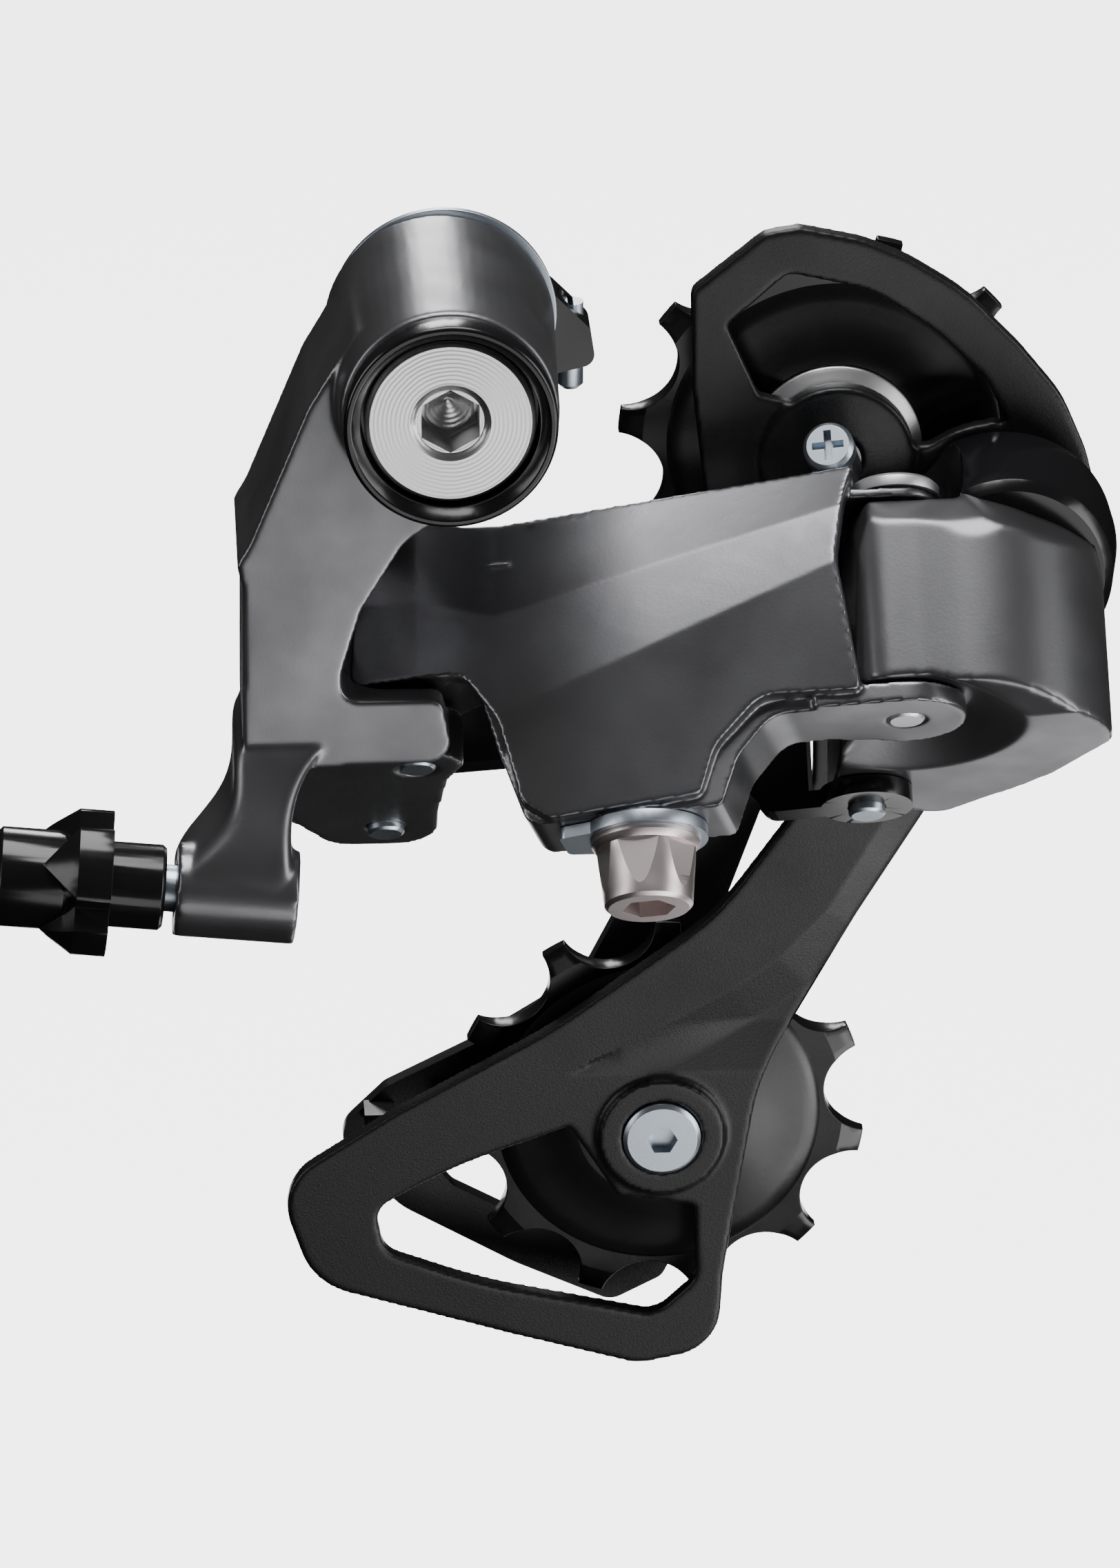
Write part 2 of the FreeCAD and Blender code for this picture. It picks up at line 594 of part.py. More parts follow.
def inner_link():
    """Inner link: a plate behind the outer one, forked round the knuckle's inner lug."""
    high = INNER_TUBE_TOP
    side = plate_xz(
        [
            (-2.0, 6.2, 0), (36.0, 5.6, 3), (42.0, INNER_LUG_BOTTOM, 2), (LINK_LENGTH, INNER_LUG_BOTTOM, 0),
            (LINK_LENGTH, high + 1.8, 0), (40.0, high + 1.8, 2), (34.0, high, 2), (-2.0, high, 0),
        ],
        -1.6, 1.6,
    )
    tube = rod(5.2, Vec(0, 0, INNER_TUBE_BOTTOM), Z_AXIS, high - INNER_TUBE_BOTTOM)
    fork_low = rod(5.0, Vec(LINK_LENGTH, 0, INNER_LUG_BOTTOM), Z_AXIS, 2.0)
    fork_high = rod(4.4, Vec(LINK_LENGTH, 0, high), Z_AXIS, 1.8)
    body = fused([side, tube, fork_low, fork_high])
    fork_floor = INNER_LUG_BOTTOM + 2.0
    bores = [
        rod(6.2, Vec(LINK_LENGTH, 0, fork_floor), Z_AXIS, high - fork_floor),
        rod(PIN_BORE_R, Vec(0, 0, 0), Z_AXIS, 30),
        rod(PIN_R + OPEN_PIVOT_GAP, Vec(LINK_LENGTH, 0, -6), Z_AXIS, 30),
    ]
    body = body.cut(bores)
    x, y = INNER_PIN_OFFSET
    body.Placement = FreeCAD.Placement(Vec(x, y, 0), FreeCAD.Rotation(Z_AXIS, REST_DEG))
    return in_linkage(body)


def link_pin(pin, low, high, head=None):
    """Straight pin with chamfered ends; head is (radius, bottom, top)."""
    x, y = PINS[pin]
    chamfered = PIN_R - 0.3
    profile = [
        (0, low), (chamfered, low), (PIN_R, low + 0.3), (PIN_R, high - 0.3), (chamfered, high), (0, high),
    ]
    body = turned(profile, Vec(x, y, 0), Z_AXIS)
    if head:
        radius, bottom, top = head
        cap = turned([(0, bottom), (radius, bottom), (radius, top - 0.4), (radius - 0.4, top), (0, top)],
                     Vec(x, y, 0), Z_AXIS)
        body = fused([body, cap])
    return in_linkage(body)


def return_spring():
    """Torsion spring wound round the bracket's outer pin, inside the outer link's tube."""
    return in_linkage(coil(3.2, 0.6, 1.5, 6, Vec(0, 0, 9.9), Z_AXIS))


def limit_screw(place, head_y, outward):
    """Limit screw in its ear; outward is the link's y direction that its head faces."""
    head = turned([(0, 0), (2.3, 0), (2.75, 0.5), (2.75, 2.2), (0, 2.2)], Vec(0, 0, 0), Z_AXIS)
    shank = rod(LIMIT_SCREW_R, Vec(0, 0, 2.0), Z_AXIS, 6.4)
    long_slot = Part.makeBox(3.4, 0.8, 1.4, Vec(-1.7, -0.4, -0.2))
    cross_slot = Part.makeBox(0.8, 3.4, 1.4, Vec(-0.4, -1.7, -0.2))
    screw = fused([head, shank]).cut([long_slot, cross_slot])
    turn = FreeCAD.Rotation(Z_AXIS, Vec(0, -outward, 0))
    screw.Placement = FreeCAD.Placement(Vec(place[0], head_y, place[1]), turn)
    return in_link(screw)


def cable_fixing_bolt():
    """Tapered hexagon-headed bolt with a socket, pointing down from the link's lobe."""
    x, y = CLAMP_PLACE
    head = turned([(0, 0), (4.3, 0), (4.7, 0.4), (5.3, 6.6), (0, 6.6)], Vec(0, 0, 0), Z_AXIS)
    head = head.common(hexagon(9.6, Vec(0, 0, 0), Z_AXIS, 6.6))
    collar = turned([(0, 6.4), (5.3, 6.4), (5.8, 7.1), (5.8, 7.6), (0, 7.6)], Vec(0, 0, 0), Z_AXIS)
    shank = rod(CLAMP_BOLT_R, Vec(0, 0, 7.6), Z_AXIS, 6.0)
    bolt = fused([head, collar, shank]).cut(hexagon(5.0, Vec(0, 0, -1), Z_AXIS, 5.0))
    bolt.translate(Vec(x, y, CLAMP_SEAT_Z - WASHER_THICK - 7.6))
    return in_link(bolt)


def cable_clamp_washer():
    x, y = CLAMP_PLACE
    low = CLAMP_SEAT_Z - WASHER_THICK
    disc = rod(6.6, Vec(x, y, low), Z_AXIS, WASHER_THICK)
    tab = slab([(15.9, -4.6, 0.8), (20.0, -5.6, 0), (20.0, 1.6, 0), (15.9, 0.6, 0.8)], low, CLAMP_SEAT_Z)
    return in_link(fused([disc, tab]).cut(rod(CLAMP_BOLT_R + RUN_GAP, Vec(x, y, low - 1), Z_AXIS, 5)))


# ---------------------------------------------------------------- knuckle

def knuckle_profile():
    """Knuckle seen from the side: its top falls towards the front."""
    return plate_xz(
        [
            (43.4, -21.0, 2.0), (45.2, -16.6, 2.0), (52.0, -16.0, 8.0), (60.0, -18.2, 20.0),
            (66.0, -20.8, 14.0), (71.0, -24.2, 8.0), (74.4, -29.0, 5.0), (73.6, -37.0, 6.0), (66.0, -47.0, 6.0),
            (58.0, -57.0, 3.0), (41.0, -57.0, 1.0),
        ],
        -36.0, -3.0,
    )


def knuckle_plan():
    """Knuckle seen along the pins, extruded along them."""
    x, y = PINS["knuckle_outer"]
    xi, yi = PINS["knuckle_inner"]
    return slab(
        [
            (x - 6.2, y + 6.0, 5.6), (x - 6.0, -18.2, 5.0), (x + 1.2, -18.9, 6.0), (61.5, -20.8, 14.0),
            (71.0, -15.6, 14.0), (74.2, -8.0, 9.0), (72.6, -2.0, 10.0), (65.4, 6.6, 12.0), (57.0, 15.4, 3.0),
            (xi + 2.0, yi + 5.4, 6.0), (xi - 5.2, yi + 5.4, 4.8), (xi - 5.2, yi - 5.0, 4.4),
            (46.4, -4.6, 1.0),
        ],
        -1.0, 27.0,
    )


def knuckle_bevels():
    """Cuts that bevel the knuckle's upper front edge, turn its lower edge under and scoop its underside."""
    upper = [(-24.0, 14.0), (-20.6, 15.0), (-19.5, 19.2), (-14.0, 26.0), (-24.0, 26.0)]
    lower = [(-24.0, 3.4), (-20.6, 2.6), (-12.0, -1.2), (-12.0, -3.0), (-24.0, -3.0)]
    cuts = []
    for profile, slant in ((upper, -4.0), (lower, 5.0)):
        points = [Vec(40.0, y, z) for y, z in profile]
        cut = Part.Face(Part.makePolygon(points + [points[0]])).extrude(Vec(40, 0, 0))
        cut.rotate(Vec(50, 0, profile[1][1]), Y_AXIS, slant)
        cuts.append(cut)
    x, y = PINS["knuckle_outer"]
    cuts.append(Part.makeCone(13.0, 7.4, 3.6, Vec(x, y, -1.2), Z_AXIS))
    return cuts


def knuckle():
    """P knuckle: carries the link pins at one side and the cage's pivot at the other."""
    body = in_linkage(knuckle_plan()).common(knuckle_profile())
    x, y = PINS["knuckle_outer"]
    xi, yi = PINS["knuckle_inner"]
    inner_top = INNER_TUBE_TOP - LINK_GAP
    lower_top = KNUCKLE_LOWER_LUG_TOP + LINK_GAP
    upper_low = LINK_UPPER_LUG[0] - LINK_GAP
    left = xi - 14
    right = xi + 5.8
    above_inner = [(left, yi - 7, 0), (right, yi - 7, 0), (right, yi + 14, 0), (left, yi + 14, 0)]
    beside_link = [(30, -20, 0), (48.4, -20, 0), (48.4, -4.6, 0), (30, -4.6, 0)]
    cuts = [
        rod(7.4, Vec(x, y, -3), Z_AXIS, 3.0 + lower_top),
        slab(beside_link, -3.0, lower_top),
        rod(KNUCKLE_TOP_CUT_R, Vec(x, y, upper_low), Z_AXIS, 12.0),
        slab(beside_link, upper_low, 30.0),
        slab(above_inner, inner_top, 30.0),
    ]
    bores = [at_pin(PIN_R, "knuckle_outer", -4, 30), at_pin(PIN_R, "knuckle_inner", -6, 30)]
    body = body.cut([in_linkage(s) for s in cuts + bores + knuckle_bevels()])
    centre = (PIVOT_X, PIVOT_Z)
    pin_tube = in_linkage(at_pin(4.6, "knuckle_outer", lower_top, upper_low))
    housing_seat = along_y(HOUSING_POCKET_R, centre, HOUSING_SEAT_Y, 10.0).cut(pin_tube)
    chamber = along_y(SPRING_HOUSING_BORE_R, centre, HOUSING_SEAT_Y, 2.0)
    axle_bore = along_y(CAGE_AXLE_R + RUN_GAP, centre, -21.0, 2.0)
    behind = along_y(60.0, centre, KNUCKLE_REAR_Y, 10.0)
    return largest(body.cut([chamber, axle_bore, housing_seat, behind]))


def knuckle_spring_housing(knuckle_solid):
    """Black housing let into the knuckle's back, round the cage's spring and over the knuckle's top."""
    r = SPRING_HOUSING_R
    shell = turned(
        [
            (0, HOUSING_FRONT_Y), (r - 2.2, HOUSING_FRONT_Y), (r - 1.2, HOUSING_FRONT_Y + 1.0), (r, -5.0),
            (r, HOUSING_REAR_Y - 0.6), (r - 0.6, HOUSING_REAR_Y), (0, HOUSING_REAR_Y),
        ],
        Vec(PIVOT_X, 0, PIVOT_Z), Y_AXIS,
    )
    x, y = PINS["knuckle_outer"]
    link_sweep = in_linkage(rod(KNUCKLE_TOP_CUT_R, Vec(x, y, LINK_UPPER_LUG[0] - LINK_GAP), Z_AXIS, 12.0))
    pin_way = in_linkage(rod(PIN_R + 0.4, Vec(x, y, 0), Z_AXIS, 40.0))
    bore = along_y(SPRING_HOUSING_BORE_R, (PIVOT_X, PIVOT_Z), -40.0, 2.0)
    return largest(shell.cut([knuckle_solid, link_sweep, pin_way, bore]))


def cage_axle():
    centre = Vec(PIVOT_X, 0, PIVOT_Z)
    return turned(
        [(0, -20.5), (3.6, -20.5), (CAGE_AXLE_R, -20.1), (CAGE_AXLE_R, -0.6), (6.0, -0.6), (6.0, 1.9),
         (CAGE_AXLE_R, 1.9), (CAGE_AXLE_R, 4.6), (0, 4.6)],
        centre, Y_AXIS,
    )


def cage_spring():
    return coil(5.7, 0.8, 1.9, 5, Vec(PIVOT_X, HOUSING_SEAT_Y + 0.9, PIVOT_Z), Y_AXIS)


def cage_stop_pin():
    return along_y(1.5, (PIVOT_X - 10.0, PIVOT_Z - 12.0), 0.6, 4.4)


# ---------------------------------------------------------------- cage

def outer_cage_plate():
    """Outboard plate: guard and hub arm at the top, leg, and the loop round the tension pulley."""
    y_low, y_high = OUTER_PLATE_Y
    leg = [
        (41.0, -50.0, 4), (41.0, -57.8, 8), (30.4, -72.9, 30), (12.2, -86.4, 60), (-5.5, -96.4, 30),
        (-18.6, -105.0, 6.5), (-14.6, -117.4, 8), (8.0, -124.5, 60), (22.0, -128.6, 5), (31.0, -126.8, 6),
        (31.6, -117.0, 20), (35.4, -93.0, 25), (46.0, -73.4, 30), (54.0, -60.0, 12), (66.0, -40.0, 10),
        (72.6, -27.0, 10), (64.0, -14.5, 6), (54.0, -16.0, 6), (46.0, -34.0, 8),
    ]
    window = [
        (-7.6, -108.2, 2.6), (0.6, -103.3, 60), (14.2, -98.4, 0.6), (19.6, -107.2, 1), (28.2, -108.6, 0.6),
        (28.6, -118.0, 3), (24.0, -122.4, 3.4), (4.4, -117.9, 60), (-6.6, -113.6, 3.0),
    ]
    plate = plate_xz(leg, y_low, y_high).cut(plate_xz(window, y_low - 1, y_high + 1))
    pulley_boss = along_y(7.0, TENSION, y_low - 0.9, y_high)
    pivot_disc = along_y(11.8, (PIVOT_X, PIVOT_Z), y_low, y_high)
    solid = fused([plate, pulley_boss, pivot_disc, guard(), hub_arm()])
    holes = [
        along_y(PULLEY_BOLT_R + 0.05, TENSION, -5, 10),
        along_y(4.45, TENSION, -5, y_low + 0.6),
        along_y(PULLEY_BOLT_R, GUIDE, -5, 10),
        along_y(CAGE_AXLE_R, (PIVOT_X, PIVOT_Z), -5, 10),
        along_y(1.5, (PIVOT_X - 10.0, PIVOT_Z - 12.0), -5, 10),
    ]
    return solid.cut(holes)


def guard():
    """Chain guard over the guide pulley, with a window between its rim and the hub arm."""
    y_low, y_high = OUTER_PLATE_Y
    outline = [
        (27.2, 0.9, 1.5), (35.0, 7.3, 3.0), (38.8, 7.9, 3.0), (45.6, 6.4, 12.0), (50.6, 4.2, 16.0),
        (56.6, 0.3, 20.0), (62.6, -6.0, 20.0), (67.4, -12.0, 14.0), (70.2, -18.6, 14.0), (72.4, -28.0, 3.0),
        (60.0, -28.0, 0), (61.4, -15.0, 3), (59.2, -9.9, 4.0), (53.6, -4.2, 12.0), (46.6, 0.7, 12.0),
        (37.6, 2.8, 1.5), (31.0, -3.1, 1.0), (34.9, -12.0, 1.0), (38.0, -24.0, 2), (29.0, -24.0, 3.0),
        (27.4, -10.0, 4.0),
    ]
    return plate_xz(outline, y_low, y_high)


def hub_arm():
    """Disc over the guide pulley's hub, with the arm that joins it to the guard."""
    y_low, y_high = OUTER_PLATE_Y
    outline = [
        (33.4, -11.0, 1), (37.6, -12.0, 1), (43.0, -17.4, 0), (53.0, -17.4, 1), (61.0, -14.4, 1),
        (61.0, -27.0, 0), (36.0, -27.0, 4),
    ]
    arm = plate_xz(outline, y_low, y_high)
    return fused([arm, along_y(8.3, GUIDE, y_low - 0.4, y_high)])


def inner_cage_plate():
    """Inboard plate: narrow leg, loop and stub, with the chain tab bent towards the pulleys."""
    y_low, y_high = INNER_PLATE_Y
    outline = [
        (35.0, -9.0, 6.0), (52.0, -9.0, 6.0), (50.0, -28.0, 10.0), (38.0, -60.0, 20.0), (31.0, -80.0, 15.0),
        (36.0, -98.0, 9.0), (31.0, -112.0, 8.0), (25.4, -123.4, 2.0), (19.6, -126.4, 2.5),
        (8.6, -121.2, 20.0), (-4.4, -113.6, 8.0), (-12.0, -104.6, 3.4), (-6.0, -98.6, 2.5),
        (5.0, -93.0, 20.0), (16.0, -86.0, 10.0), (24.0, -70.0, 20.0), (33.0, -40.0, 30.0), (33.0, -20.0, 8.0),
    ]
    window = [
        (-1.4, -107.4, 1.5), (12.0, -101.0, 2.0), (15.0, -113.0, 3.0), (12.0, -117.0, 2.0),
        (1.6, -111.2, 2.0),
    ]
    plate = plate_xz(outline, y_low, y_high).cut(plate_xz(window, y_low - 1, y_high + 1))
    tab_outline = [(-8.4, -100.4, 0), (-5.0, -100.4, 0), (-5.0, -102.4, 0), (-8.4, -102.4, 0)]
    tab = plate_xz(tab_outline, 10.4, y_low + 0.5)
    bosses = [along_y(5.2, GUIDE, y_low, y_high + 0.8), along_y(5.2, TENSION, y_low, y_high + 0.8)]
    holes = [along_y(PULLEY_BOLT_R + RUN_GAP, GUIDE, 5, 20), along_y(PULLEY_BOLT_R, TENSION, 5, 20)]
    return fused([plate, tab] + bosses).cut(holes)


def pulley(centre, phase_deg):
    """Eleven-tooth pulley with a dished web and a hub bored for its bush."""
    bore = PULLEY_BUSH_R + RUN_GAP
    half = [
        (bore, PULLEY_HALF_HUB), (7.2, PULLEY_HALF_HUB), (7.4, 2.9), (9.6, 2.8), (13.4, 2.1), (17.6, 1.6),
        (18.2, 1.25), (20.8, 1.25), (PULLEY_TIP_R, 0.7),
    ]
    profile = [(r, -h) for r, h in half] + list(reversed(half))
    solid = turned(profile, Vec(centre[0], PULLEY_Y, centre[1]), Y_AXIS)
    pitch_r = CHAIN_PITCH / (2 * math.sin(math.pi / TEETH))
    valley_centre_r = pitch_r - ROLLER_R + VALLEY_R
    valleys = []
    for i in range(TEETH):
        angle = math.radians(phase_deg + 360.0 / TEETH * (i + 0.5))
        place = (centre[0] + valley_centre_r * math.cos(angle), centre[1] + valley_centre_r * math.sin(angle))
        valleys.append(along_y(VALLEY_R, place, PULLEY_Y - 3, PULLEY_Y + 3))
    return solid.cut(valleys)


def pulley_bush(centre):
    bush = along_y(PULLEY_BUSH_R, centre, OUTER_PLATE_Y[1] + 0.05, INNER_PLATE_Y[0] - 0.05)
    return bush.cut(along_y(PULLEY_BOLT_R + 0.05, centre, 0, 20))


def pulley_cap(centre, side):
    """Dust cap beside the pulley's hub; side is -1 for the outboard one."""
    near = PULLEY_HALF_HUB + 0.12
    bore = PULLEY_BUSH_R + 0.03
    profile = [
        (bore, near), (7.7, near), (CAP_R, 3.0), (CAP_R, 3.4), (8.0, near + 0.42), (bore, near + 0.42),
    ]
    return turned(profile, Vec(centre[0], PULLEY_Y, centre[1]), Y_AXIS * side)


def guide_pulley_bolt():
    """Enters from the inboard side and threads into the outer plate."""
    centre = Vec(GUIDE[0], INNER_PLATE_Y[1] + 0.8, GUIDE[1])
    profile = [(0, 0), (PULLEY_BOLT_R, 0), (PULLEY_BOLT_R, -14.6), (0, -14.6)]
    head = [(0, 0), (4.3, 0), (4.3, 1.6), (3.9, 2.0), (0, 2.0)]
    bolt = fused([turned(profile, centre, Y_AXIS), turned(head, centre, Y_AXIS)])
    return bolt.cut(hexagon(3.0, centre + Vec(0, 0.6, 0), Y_AXIS, 3.0))


def tension_pulley_bolt():
    """Enters from the outboard side; its head lies in the plate's boss."""
    top = OUTER_PLATE_Y[0] + 0.6
    start = Vec(TENSION[0], top, TENSION[1])
    head = turned([(0, 0), (4.35, 0), (4.35, 1.7), (3.9, 2.1), (0, 2.1)], start, Vec(0, -1, 0))
    shank = rod(PULLEY_BOLT_R, start, Y_AXIS, INNER_PLATE_Y[1] + 0.8 - top)
    return fused([head, shank]).cut(hexagon(3.0, start + Vec(0, -0.6, 0), Vec(0, -1, 0), 3.0))


# ---------------------------------------------------------------- assembly

def all_nodes():
    knuckle_solid = knuckle()
    return {
        "mounting_bolt": mounting_bolt(),
        "hanger_stop_plate": hanger_stop_plate(),
        "thrust_washer": thrust_washer(),
        "b_tension_screw": b_tension_screw(),
        "b_axle_bush": b_axle_bush(),
        "b_spring": b_spring(),
        "barrel_collar": barrel_collar(),
        "barrel_rear_seal": barrel_rear_seal(),
        "bracket_knuckle": bracket_knuckle(),
        "barrel_adjuster": barrel_adjuster(),
        "adjuster_bolt": adjuster_bolt(),
        "adjuster_spring": adjuster_spring(),
        "outer_link": outer_link(),
        "inner_link": inner_link(),
        "pin_bracket_outer": link_pin("bracket_outer", 0.0, UPPER_LUG_TOP),
        "pin_bracket_inner": link_pin("bracket_inner", -0.8, INNER_LUG_TOP),
        "pin_knuckle_outer": link_pin("knuckle_outer", -0.1, 26.0, (PIN_HEAD_R, 25.0, 26.5)),
        "pin_knuckle_inner": link_pin("knuckle_inner", -4.2, 16.6),
        "return_spring": return_spring(),
        "low_limit_screw": limit_screw(LOW_SCREW, 6.8, 1),
        "high_limit_screw": limit_screw(HIGH_SCREW, -3.0, -1),
        "cable_fixing_bolt": cable_fixing_bolt(),
        "cable_clamp_washer": cable_clamp_washer(),
        "knuckle": knuckle_solid,
        "knuckle_spring_housing": knuckle_spring_housing(knuckle_solid),
        "cage_axle": cage_axle(),
        "cage_spring": cage_spring(),
        "cage_stop_pin": cage_stop_pin(),
        "outer_cage_plate": outer_cage_plate(),
        "inner_cage_plate": inner_cage_plate(),
        "guide_pulley": pulley(GUIDE, GUIDE_PHASE_DEG),
        "tension_pulley": pulley(TENSION, TENSION_PHASE_DEG),
        "guide_pulley_bush": pulley_bush(GUIDE),
        "tension_pulley_bush": pulley_bush(TENSION),
        "guide_cap_outer": pulley_cap(GUIDE, -1),
        "guide_cap_inner": pulley_cap(GUIDE, 1),
        "tension_cap_outer": pulley_cap(TENSION, -1),
        "tension_cap_inner": pulley_cap(TENSION, 1),
        "guide_pulley_bolt": guide_pulley_bolt(),
        "tension_pulley_bolt": tension_pulley_bolt(),
    }


def main():
    os.makedirs("parts", exist_ok=True)
    for name, shape in all_nodes().items():
        shape.exportStep("parts/" + name + ".step")


main()
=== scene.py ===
"""Looks for the rear derailleur: cast and painted surfaces, bright fasteners, studio and camera."""
import bpy
import bmesh
import json
import math
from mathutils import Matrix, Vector


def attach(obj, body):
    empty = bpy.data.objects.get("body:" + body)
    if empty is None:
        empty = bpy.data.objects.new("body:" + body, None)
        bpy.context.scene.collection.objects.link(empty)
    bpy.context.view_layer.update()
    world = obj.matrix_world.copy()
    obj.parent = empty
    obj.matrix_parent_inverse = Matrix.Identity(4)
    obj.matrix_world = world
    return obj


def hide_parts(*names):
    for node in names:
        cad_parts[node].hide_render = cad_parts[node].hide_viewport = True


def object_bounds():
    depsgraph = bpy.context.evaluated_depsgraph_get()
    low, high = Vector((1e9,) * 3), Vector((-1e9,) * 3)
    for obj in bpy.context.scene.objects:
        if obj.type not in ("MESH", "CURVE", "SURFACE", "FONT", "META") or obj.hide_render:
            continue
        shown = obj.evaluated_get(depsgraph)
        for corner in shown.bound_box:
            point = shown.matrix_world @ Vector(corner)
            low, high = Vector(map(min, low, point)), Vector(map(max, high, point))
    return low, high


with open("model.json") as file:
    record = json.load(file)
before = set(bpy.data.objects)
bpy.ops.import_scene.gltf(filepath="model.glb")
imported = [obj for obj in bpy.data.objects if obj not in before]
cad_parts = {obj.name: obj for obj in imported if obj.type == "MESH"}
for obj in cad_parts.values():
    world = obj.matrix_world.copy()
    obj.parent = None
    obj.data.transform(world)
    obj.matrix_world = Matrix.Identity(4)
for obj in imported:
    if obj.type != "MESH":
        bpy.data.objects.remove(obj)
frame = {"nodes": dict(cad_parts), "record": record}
cad_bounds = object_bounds()
NODES = frame["nodes"]
MM = 0.001

# Rebuilt castings: the body each rides on, its voxel size in mm and its smoothing passes
CASTINGS = {
    "bracket_knuckle": ("bracket", 0.32, 8),
    "outer_link": ("outer_link_body", 0.26, 4),
    "knuckle": ("p_knuckle", 0.3, 16),
    "outer_cage_plate": ("cage", 0.34, 2),
}
# Line on the outer cage plate, as (x, z) in mm: in front of it the face slopes back
FACET_LINE = (
    (57.0, -47.0), (48.4, -62.5), (42.8, -72.4), (37.5, -78.2), (32.2, -81.8), (26.4, -85.1), (19.9, -88.7),
)
# How the face slopes: back per mm, deepest, between these heights, and over what lengths it fades in
FACET_SLOPE = 0.22
FACET_DEPTH = 1.1
FACET_BOTTOM_Z = -92.0
FACET_TOP_Z = -44.0
FACET_FADE_BELOW = 6.0
FACET_FADE_ABOVE = 4.0
# Front face of the plate, the depth behind it that moves with it, and how gradually
PLATE_FACE_Y = 2.2
PLATE_SKIN = 1.0
PLATE_BLEND = 0.8
# Edges of the nodes that keep their CAD mesh
EDGE_BEVEL_MM = 0.12
EDGE_ANGLE_DEG = 32
# Split vertices of a CAD mesh are joined within this distance, in metres
WELD_DISTANCE = 1e-6
# Surfaces: the noise range in use, cloud size in waves per metre, mottle colour, relief depth in metres
# and the scale of the rings left by turning
NOISE_LOW = 0.3
NOISE_HIGH = 0.7
CLOUD_SCALE = 90.0
MOTTLE_COLOUR = (0.86, 0.86, 0.87, 1.0)
RELIEF_DEPTH = 0.0001
TURNED_RINGS_SCALE = 700.0
# Studio, in metres: softboxes as name, place, size and radiance; floor below the CAD box; world's glow
# between two heights
SOFTBOXES = (
    ("overhead", (0.0, 0.05, 0.75), (0.5, 0.55), 8.5),
    ("behind", (-0.02, 0.80, 0.34), (0.22, 0.26), 11.0),
    ("low_front", (0.12, -0.42, -0.20), (0.4, 0.18), 1.9),
    ("low_right", (0.48, -0.50, -0.28), (0.2, 0.2), 7.0),
    ("under_back", (0.05, 0.42, -0.32), (0.5, 0.12), 3.5),
    ("under", (0.17, 0.10, -0.36), (0.22, 0.22), 1.6),
    ("low_near", (0.27, -0.36, -0.36), (0.3, 0.12), 5.5),
    ("right", (0.8, -0.25, 0.05), (0.3, 0.7), 4.5),
    ("left", (-0.8, -0.3, 0.2), (0.25, 0.6), 3.5),
)
FLOOR_DROP = 0.27
FLOOR_SIZE = 8.0
FLOOR_GLOW = 4.0
WORLD_LOW = -0.35
WORLD_HIGH = 0.6
WORLD_DARK = 0.1
WORLD_BRIGHT = 1.0
CAMERA_PLACE = Vector((-0.03236, -0.82467, 0.31582))
CAMERA_TARGET = Vector((0.01275, -0.005, -0.05311))
CAMERA_LENS = 190.2
MIDDLE = Vector((0.01, 0.0, -0.05))


# ---------------------------------------------------------------- materials

def new_material(name):
    material = bpy.data.materials.new(name)
    material.use_nodes = True
    return material, material.node_tree.nodes, material.node_tree.links


def object_noise(nodes, links, scale, detail=4.0):
    """Noise in the object's own space, scale in waves per metre."""
    place = nodes.new("ShaderNodeTexCoord")
    noise = nodes.new("ShaderNodeTexNoise")
    noise.inputs["Scale"].default_value = scale
    noise.inputs["Detail"].default_value = detail
    links.new(place.outputs["Object"], noise.inputs["Vector"])
    return noise.outputs["Fac"]


def map_range(nodes, links, source, low, high):
    """Source value from NOISE_LOW to NOISE_HIGH, spread over low to high."""
    spread = nodes.new("ShaderNodeMapRange")
    spread.inputs["From Min"].default_value = NOISE_LOW
    spread.inputs["From Max"].default_value = NOISE_HIGH
    spread.inputs["To Min"].default_value = low
    spread.inputs["To Max"].default_value = high
    links.new(source, spread.inputs["Value"])
    return spread.outputs["Result"]


def surface(name, colour, roughness, metallic=0.0, grain=2500.0, bump=0.02, spread=0.06, coat=0.0):
    """Principled surface with fine grain, cloudy roughness and slightly mottled colour."""
    material, nodes, links = new_material(name)
    shader = nodes["Principled BSDF"]
    shader.inputs["Metallic"].default_value = metallic
    shader.inputs["Coat Weight"].default_value = coat
    shader.inputs["Coat Roughness"].default_value = 0.08
    cloud = object_noise(nodes, links, CLOUD_SCALE, 5.0)
    fine = object_noise(nodes, links, grain, 6.0)
    cloudy = map_range(nodes, links, cloud, roughness - spread, roughness + spread)
    links.new(cloudy, shader.inputs["Roughness"])
    mottle = nodes.new("ShaderNodeMixRGB")
    mottle.blend_type = "MULTIPLY"
    mottle.inputs["Color1"].default_value = (*colour, 1.0)
    mottle.inputs["Color2"].default_value = MOTTLE_COLOUR
    links.new(map_range(nodes, links, cloud, 0.0, 1.0), mottle.inputs["Fac"])
    links.new(mottle.outputs["Color"], shader.inputs["Base Color"])
    relief = nodes.new("ShaderNodeBump")
    relief.inputs["Strength"].default_value = bump
    relief.inputs["Distance"].default_value = RELIEF_DEPTH
    links.new(fine, relief.inputs["Height"])
    links.new(relief.outputs["Normal"], shader.inputs["Normal"])
    return material


